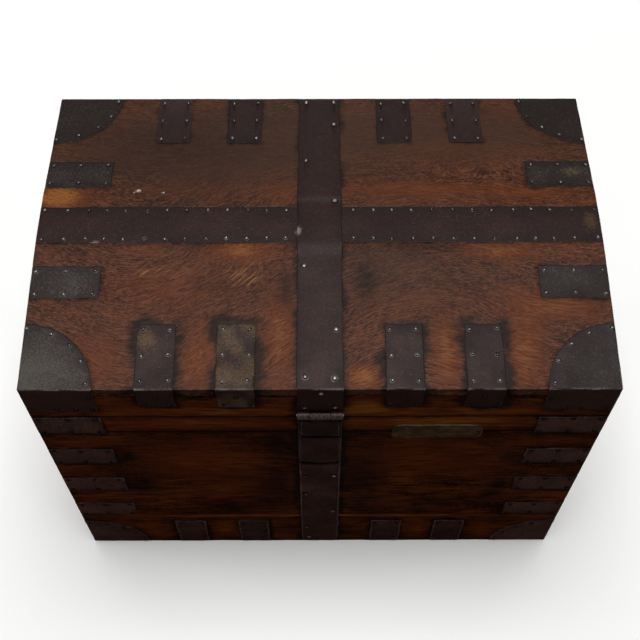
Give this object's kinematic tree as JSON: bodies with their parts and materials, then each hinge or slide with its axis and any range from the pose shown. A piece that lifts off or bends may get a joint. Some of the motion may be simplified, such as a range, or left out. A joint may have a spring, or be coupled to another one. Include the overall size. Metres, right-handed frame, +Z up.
{
  "type": "iron-bound chest",
  "caption": "Oak chest bound with wrought-iron straps and corner irons, with a low crowned lid on rear hinges, a front hasp that covers the lock, and swinging end handles.",
  "frame": {"origin": "middle of the base, on the plane the chest stands on", "axes": "+X to the viewer's right along the chest's width, +Y to the back, where the hinges are, +Z up; the hasp is on the front, at -Y"},
  "size_m": [0.803, 0.5044, 0.5665],
  "materials": {
    "oak": "aged dark oil and wax",
    "strap_iron": "hammered wrought iron, waxed black-brown",
    "corner_iron": "hammered wrought iron, greenish grey-black",
    "lock_iron": "filed bright, dulled by age"
  },
  "bodies": {
    "body": {"front_board_upper": "oak", "front_board_lower": "oak", "back_board": "oak", "end_board_left": "oak", "end_board_right": "oak", "floor_board": "oak", "body_strap": "strap_iron", "corner_strap_left_1": "corner_iron", "corner_strap_left_2": "corner_iron", "corner_strap_left_3": "corner_iron", "corner_strap_left_4": "corner_iron", "corner_strap_right_1": "corner_iron", "corner_strap_right_2": "corner_iron", "corner_strap_right_3": "corner_iron", "corner_strap_right_4": "corner_iron", "base_clip_outer_left": "strap_iron", "base_clip_outer_right": "strap_iron", "base_clip_inner_left": "strap_iron", "base_clip_inner_right": "strap_iron", "boot_front_left": "corner_iron", "boot_front_right": "corner_iron", "boot_back_left": "corner_iron", "boot_back_right": "corner_iron", "hinge_leaf_left": "strap_iron", "hinge_leaf_right": "strap_iron", "hinge_pin_left": "lock_iron", "hinge_pin_right": "lock_iron", "lock_plate": "strap_iron", "lock_case": "lock_iron", "handle_plate_left": "strap_iron", "handle_plate_right": "strap_iron"},
    "lid": {"lid_top": "oak", "lid_rail_front": "oak", "lid_rail_back": "oak", "lid_end_left": "oak", "lid_end_right": "oak", "lid_corner_front_left": "corner_iron", "lid_corner_front_right": "corner_iron", "lid_corner_back_left": "corner_iron", "lid_corner_back_right": "corner_iron", "lid_front_bracket_outer_left": "strap_iron", "lid_front_bracket_outer_right": "strap_iron", "lid_front_bracket_inner_left": "strap_iron", "lid_front_bracket_inner_right": "strap_iron", "lid_back_bracket_left": "strap_iron", "lid_back_bracket_right": "strap_iron", "lid_end_bracket_front_left": "corner_iron", "lid_end_bracket_front_right": "corner_iron", "lid_end_bracket_back_left": "corner_iron", "lid_end_bracket_back_right": "corner_iron", "lid_cross_strap": "strap_iron", "lid_centre_strap": "strap_iron", "lid_hinge_leaf_left": "strap_iron", "lid_hinge_leaf_right": "strap_iron", "hasp_pin": "lock_iron", "link_plate": "lock_iron"},
    "hasp": {"hasp": "strap_iron"},
    "handle_left": {"bail_left": "strap_iron"},
    "handle_right": {"bail_right": "strap_iron"},
    "bolt": {"lock_bolt": "lock_iron"}
  },
  "joints": [
    {"name": "lid_hinge", "type": "hinge", "parent": "body", "child": "lid", "pos_m": [0, 0.24675, 0.47], "axis": [-1, 0, 0], "range_deg": [0, 100]},
    {"name": "hasp_swing", "type": "hinge", "parent": "lid", "child": "hasp", "pos_m": [0, -0.24675, 0.481], "axis": [-1, 0, 0], "range_deg": [0, 150]},
    {"name": "handle_left_swing", "type": "hinge", "parent": "body", "child": "handle_left", "pos_m": [-0.3925, 0, 0.3], "axis": [0, 1, 0], "range_deg": [0, 100]},
    {"name": "handle_right_swing", "type": "hinge", "parent": "body", "child": "handle_right", "pos_m": [0.3925, 0, 0.3], "axis": [0, -1, 0], "range_deg": [0, 100]},
    {"name": "lock_bolt_slide", "type": "slide", "parent": "body", "child": "bolt", "axis": [1, 0, 0], "range_m": [0, 0.007]}
  ]
}
